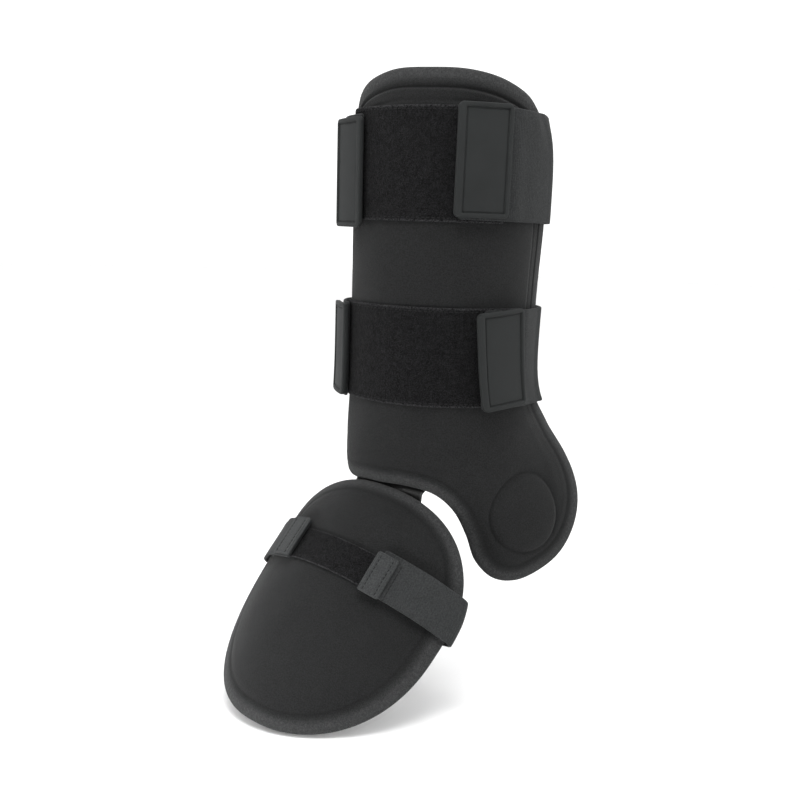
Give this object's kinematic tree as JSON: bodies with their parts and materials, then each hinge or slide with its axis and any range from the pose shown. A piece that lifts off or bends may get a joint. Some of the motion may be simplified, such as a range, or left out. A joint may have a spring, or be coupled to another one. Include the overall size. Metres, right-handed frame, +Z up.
{
  "type": "batters leg guard",
  "caption": "Padded leg guard for a batter: curved shin shell with an ankle flap, a foot pad on a fabric hinge, and wide elastic straps that close on loop panels with rubber pull tabs.",
  "frame": {"origin": "on the axis of the leg, half-way up the shin shell, where the guard is worn", "axes": "+Z up the leg, -Y to the front of the shin and +X to the side of the ankle flap"},
  "size_m": [0.1954, 0.2288, 0.4037],
  "materials": {
    "fabric": "dark grey knit over moulded foam, matt",
    "loop": "near-black brushed loop fabric, matt",
    "elastic": "dark grey woven elastic, matt",
    "rubber": "grey moulded rubber, satin"
  },
  "bodies": {
    "root": {"shin_shell": "fabric", "upper_loop_panel": "loop", "lower_loop_panel": "loop", "upper_strap": "elastic", "lower_strap": "elastic", "upper_tab_outer": "rubber", "upper_tab_inner": "rubber", "lower_tab_outer": "rubber", "lower_tab_inner": "rubber", "foot_hinge": "fabric", "foot_shell": "fabric", "foot_loop_panel": "loop", "foot_strap": "elastic", "foot_tab_outer": "elastic", "foot_tab_inner": "elastic"}
  },
  "joints": []
}
